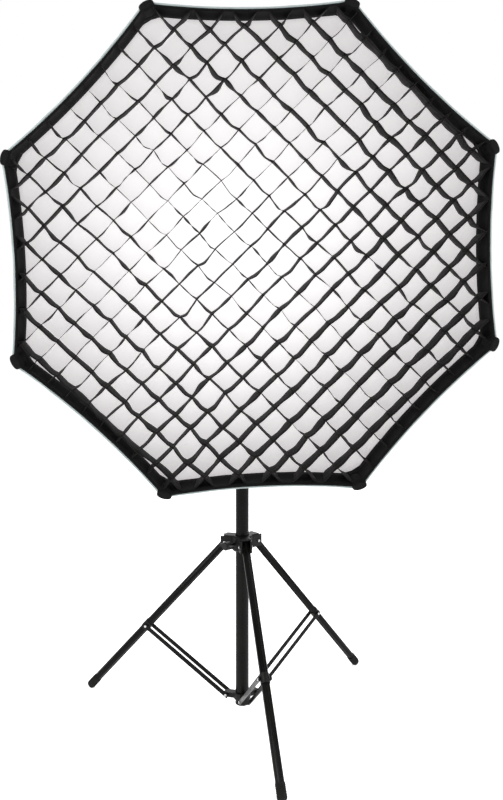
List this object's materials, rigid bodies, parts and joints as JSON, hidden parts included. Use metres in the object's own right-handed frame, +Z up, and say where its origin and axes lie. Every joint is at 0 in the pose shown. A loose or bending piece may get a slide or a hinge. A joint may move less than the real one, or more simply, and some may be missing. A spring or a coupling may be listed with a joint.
{
  "type": "studio softbox",
  "caption": "Octagonal studio softbox with a fabric egg-crate grid, on a flash head carried by a folding three-legged light stand.",
  "frame": {"origin": "on the floor, under the middle of the object's outline", "axes": "+Z up; the softbox faces -Y, tilted a little down; +X is to the right, seen from the front"},
  "size_m": [1.1382, 0.9208, 1.8685],
  "materials": {
    "satin_black": "satin black enamel over aluminium",
    "cast_black": "semi-matt black on a die casting",
    "black_plastic": "moulded black nylon",
    "black_rubber": "moulded black rubber",
    "bright_steel": "turned steel, lightly brushed",
    "head_grey": "fine-textured dark grey paint",
    "clear_glass": "clear, slightly frosted",
    "lamp_glass": "frosted white",
    "board_green": "green solder mask",
    "red_plastic": "moulded red",
    "black_nylon": "black coated nylon, silvered inside",
    "white_nylon": "white translucent nylon",
    "grid_webbing": "matt black webbing",
    "rod_fibre": "black glass-fibre rod"
  },
  "bodies": {
    "column": {"column_tube": "satin_black", "lower_hub": "cast_black", "column_end_cap": "black_plastic", "column_clamp": "black_plastic"},
    "column_clamp_screw": {"column_clamp_knob": "black_plastic"},
    "spreader": {"spread_hub": "cast_black"},
    "spread_lock": {"spread_lock_knob": "black_plastic"},
    "left_leg": {"left_leg_tube": "satin_black", "left_leg_foot": "black_rubber", "left_leg_bracket": "cast_black"},
    "left_brace": {"left_brace_bar_a": "satin_black", "left_brace_bar_b": "satin_black"},
    "front_leg": {"front_leg_tube": "satin_black", "front_leg_foot": "black_rubber", "front_leg_bracket": "cast_black"},
    "front_brace": {"front_brace_bar_a": "satin_black", "front_brace_bar_b": "satin_black"},
    "right_leg": {"right_leg_tube": "satin_black", "right_leg_foot": "black_rubber", "right_leg_bracket": "cast_black"},
    "right_brace": {"right_brace_bar_a": "satin_black", "right_brace_bar_b": "satin_black"},
    "riser_1": {"riser_1_tube": "satin_black", "riser_1_clamp": "black_plastic"},
    "riser_1_clamp_screw": {"riser_1_clamp_knob": "black_plastic"},
    "riser_2": {"riser_2_tube": "satin_black", "stand_spigot": "bright_steel"},
    "swivel": {"swivel_socket": "cast_black"},
    "socket_screw": {"socket_knob": "black_plastic"},
    "head": {"tilt_yoke": "cast_black", "head_housing": "head_grey", "head_rear_panel": "black_plastic", "head_front_ring": "cast_black", "lamp_base": "white_nylon", "flash_tube": "lamp_glass", "modelling_lamp": "lamp_glass", "glass_dome": "clear_glass", "power_inlet": "black_plastic", "circuit_board": "board_green", "flash_capacitor": "black_plastic"},
    "tilt_lever": {"tilt_handle": "black_plastic"},
    "dial": {"power_dial": "black_plastic"},
    "switch": {"power_switch": "black_plastic"},
    "button": {"test_button": "red_plastic"},
    "release": {"mount_release": "black_plastic"},
    "softbox": {"speed_ring": "cast_black", "rod_1": "rod_fibre", "rod_2": "rod_fibre", "rod_3": "rod_fibre", "rod_4": "rod_fibre", "rod_5": "rod_fibre", "rod_6": "rod_fibre", "rod_7": "rod_fibre", "rod_8": "rod_fibre", "softbox_skin": "black_nylon", "inner_baffle": "white_nylon", "front_diffuser": "white_nylon", "front_grid": "grid_webbing"}
  },
  "joints": [
    {"name": "stand_spread", "type": "slide", "parent": "column", "child": "spreader", "axis": [0, 0, 1], "range_m": [0, 0.2341]},
    {"name": "left_leg_fold", "type": "hinge", "parent": "spreader", "child": "left_leg", "pos_m": [-0.04534, 0.16491, 0.488], "axis": [-0.3795, -0.9252, 0], "range_deg": [0, 39.81]},
    {"name": "left_brace_fold", "type": "hinge", "parent": "column", "child": "left_brace", "pos_m": [-0.04256, 0.16377, 0.043], "axis": [0.3795, 0.9252, 0], "range_deg": [0, 52.01]},
    {"name": "front_leg_fold", "type": "hinge", "parent": "spreader", "child": "front_leg", "pos_m": [0.00656, 0.09776, 0.488], "axis": [0.991, 0.134, 0], "range_deg": [0, 39.81]},
    {"name": "front_brace_fold", "type": "hinge", "parent": "column", "child": "front_brace", "pos_m": [0.00616, 0.10073, 0.043], "axis": [-0.991, -0.134, 0], "range_deg": [0, 52.01]},
    {"name": "right_leg_fold", "type": "hinge", "parent": "spreader", "child": "right_leg", "pos_m": [0.03877, 0.17628, 0.488], "axis": [-0.6115, 0.7912, 0], "range_deg": [0, 39.81]},
    {"name": "right_brace_fold", "type": "hinge", "parent": "column", "child": "right_brace", "pos_m": [0.0364, 0.17445, 0.043], "axis": [0.6115, -0.7912, 0], "range_deg": [0, 52.01]},
    {"name": "spread_lock_turn", "type": "hinge", "parent": "spreader", "child": "spread_lock", "pos_m": [-0.02397, 0.12779, 0.488], "axis": [-0.7912, -0.6115, 0], "range_deg": [0, 360]},
    {"name": "column_clamp_turn", "type": "hinge", "parent": "column", "child": "column_clamp_screw", "pos_m": [0, 0.18262, 0.914], "axis": [0, 1, 0], "range_deg": [0, 360]},
    {"name": "riser_1_extend", "type": "slide", "parent": "column", "child": "riser_1", "axis": [0, 0, 1], "range_m": [-0.07, 0.7]},
    {"name": "riser_1_clamp_turn", "type": "hinge", "parent": "riser_1", "child": "riser_1_clamp_screw", "pos_m": [0, 0.17962, 1.035], "axis": [0, 1, 0], "range_deg": [0, 360]},
    {"name": "riser_2_extend", "type": "slide", "parent": "riser_1", "child": "riser_2", "axis": [0, 0, 1], "range_m": [-0.07, 0.7]},
    {"name": "head_swivel", "type": "hinge", "parent": "riser_2", "child": "swivel", "pos_m": [0, 0.14632, 1.2597], "axis": [0, 0, 1], "continuous": true},
    {"name": "socket_screw_turn", "type": "hinge", "parent": "swivel", "child": "socket_screw", "pos_m": [-0.0213, 0.14632, 1.2077], "axis": [-1, 0, 0], "range_deg": [0, 360]},
    {"name": "head_tilt", "type": "hinge", "parent": "swivel", "child": "head", "pos_m": [0, 0.14632, 1.2597], "axis": [1, 0, 0], "range_deg": [-60, 20]},
    {"name": "tilt_handle_turn", "type": "hinge", "parent": "swivel", "child": "tilt_lever", "pos_m": [0.0186, 0.14632, 1.2597], "axis": [-1, 0, 0], "range_deg": [0, 75]},
    {"name": "softbox_turn", "type": "hinge", "parent": "head", "child": "softbox", "pos_m": [0, 0.04225, 1.34512], "axis": [0, -0.9954, -0.0958], "continuous": true},
    {"name": "power_dial_turn", "type": "hinge", "parent": "head", "child": "dial", "pos_m": [-0.026, 0.2632, 1.38448], "axis": [0, 0.9954, 0.0958], "range_deg": [0, 270]},
    {"name": "power_switch_rock", "type": "hinge", "parent": "head", "child": "switch", "pos_m": [0.032, 0.26091, 1.38426], "axis": [1, 0, 0], "range_deg": [0, 16]},
    {"name": "test_button_press", "type": "slide", "parent": "head", "child": "button", "axis": [0, -0.9954, -0.0958], "range_m": [0, 0.002], "stiffness_N_per_m": 200},
    {"name": "mount_release_slide", "type": "slide", "parent": "head", "child": "release", "axis": [0, 0.9954, 0.0958], "range_m": [0, 0.004], "stiffness_N_per_m": 200}
  ],
  "couplings": [
    {"joint": "left_leg_fold", "follows": "stand_spread", "rad_per_m": 2.9643},
    {"joint": "left_brace_fold", "follows": "stand_spread", "rad_per_m": 3.8741},
    {"joint": "front_leg_fold", "follows": "stand_spread", "rad_per_m": 2.9643},
    {"joint": "front_brace_fold", "follows": "stand_spread", "rad_per_m": 3.8741},
    {"joint": "right_leg_fold", "follows": "stand_spread", "rad_per_m": 2.9643},
    {"joint": "right_brace_fold", "follows": "stand_spread", "rad_per_m": 3.8741}
  ]
}
